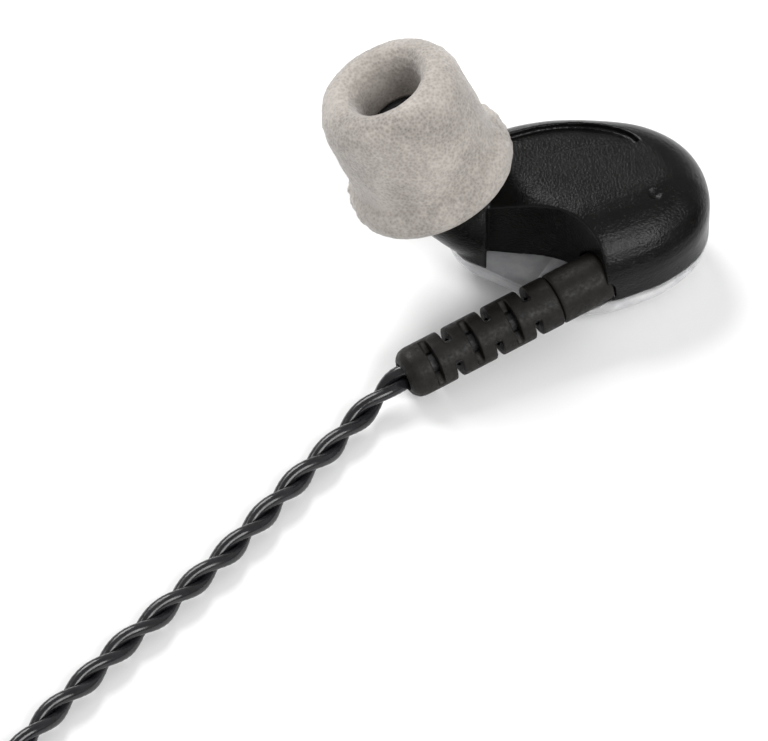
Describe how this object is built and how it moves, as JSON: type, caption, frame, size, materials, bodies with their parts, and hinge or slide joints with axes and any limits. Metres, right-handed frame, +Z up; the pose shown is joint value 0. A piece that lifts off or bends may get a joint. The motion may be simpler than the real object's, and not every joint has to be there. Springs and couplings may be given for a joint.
{
  "type": "in ear monitors",
  "caption": "Pair of two-driver in ear monitors with foam tips, clear rear shells, slotted strain reliefs, twisted leads, slider, Y-split and a straight audio plug.",
  "frame": {"origin": "on the flat rest face of the left earpiece's clear rear shell, on the surface that everything lies on", "axes": "+Z up from that surface; +X from the left earpiece's nozzle end towards its back; +Y away from its cable notch"},
  "size_m": [0.0993, 0.1023, 0.0222],
  "materials": {
    "black_shell": "moulded, glossy with a fine spark texture",
    "clear_shell": "clear moulded plastic",
    "steel": "drawn",
    "white_plastic": "moulded",
    "foam": "slow-recovery foam with a fine open skin",
    "silicone": "soft matte",
    "board": "solder mask",
    "amber": "ceramic",
    "boot_rubber": "matte",
    "cable": "glossy jacket",
    "copper": "bare wire",
    "gold": "plated"
  },
  "bodies": {
    "cable_and_shells": {"left_front_shell": "black_shell", "left_rear_shell": "clear_shell", "left_nozzle": "steel", "left_wax_guard": "steel", "left_damper": "white_plastic", "left_low_driver": "steel", "left_high_driver": "steel", "left_low_sound_tube": "clear_shell", "left_high_sound_tube": "clear_shell", "left_driver_cradle": "white_plastic", "left_crossover_board": "board", "left_capacitor": "amber", "left_cable_collar": "boot_rubber", "left_strain_relief": "boot_rubber", "left_cable_core": "cable", "left_cable_anchor": "steel", "left_signal_wire": "copper", "left_ground_wire": "copper", "right_front_shell": "black_shell", "right_rear_shell": "clear_shell", "right_nozzle": "steel", "right_wax_guard": "steel", "right_damper": "white_plastic", "right_low_driver": "steel", "right_high_driver": "steel", "right_low_sound_tube": "clear_shell", "right_high_sound_tube": "clear_shell", "right_driver_cradle": "white_plastic", "right_crossover_board": "board", "right_capacitor": "amber", "right_cable_collar": "boot_rubber", "right_strain_relief": "boot_rubber", "right_cable_core": "cable", "right_cable_anchor": "steel", "right_signal_wire": "copper", "right_ground_wire": "copper", "lead_left_run": "cable", "lead_left_coil": "cable", "lead_left_tail": "cable", "lead_right_run": "cable", "lead_right_coil": "cable", "lead_right_tail": "cable", "y_split": "boot_rubber", "main_run": "cable", "main_coil": "cable", "main_tail": "cable", "plug_relief": "boot_rubber", "plug_housing": "black_shell", "plug_sleeve": "gold", "plug_rear_insulator": "silicone", "plug_ring": "gold", "plug_front_insulator": "silicone", "plug_tip": "gold"},
    "left_tip": {"left_foam_tip": "foam", "left_tip_core": "silicone"},
    "right_tip": {"right_foam_tip": "foam", "right_tip_core": "silicone"},
    "slider_ring": {"slider": "black_shell"}
  },
  "joints": [
    {"name": "left_tip_pull", "type": "slide", "parent": "cable_and_shells", "child": "left_tip", "axis": [-0.3812, 0.0951, 0.9196], "range_m": [0, 0.008]},
    {"name": "right_tip_pull", "type": "slide", "parent": "cable_and_shells", "child": "right_tip", "axis": [0.2729, -0.2826, 0.9196], "range_m": [0, 0.008]},
    {"name": "slider_travel", "type": "slide", "parent": "cable_and_shells", "child": "slider_ring", "axis": [-1, 0, 0], "range_m": [0, 0.009]}
  ]
}
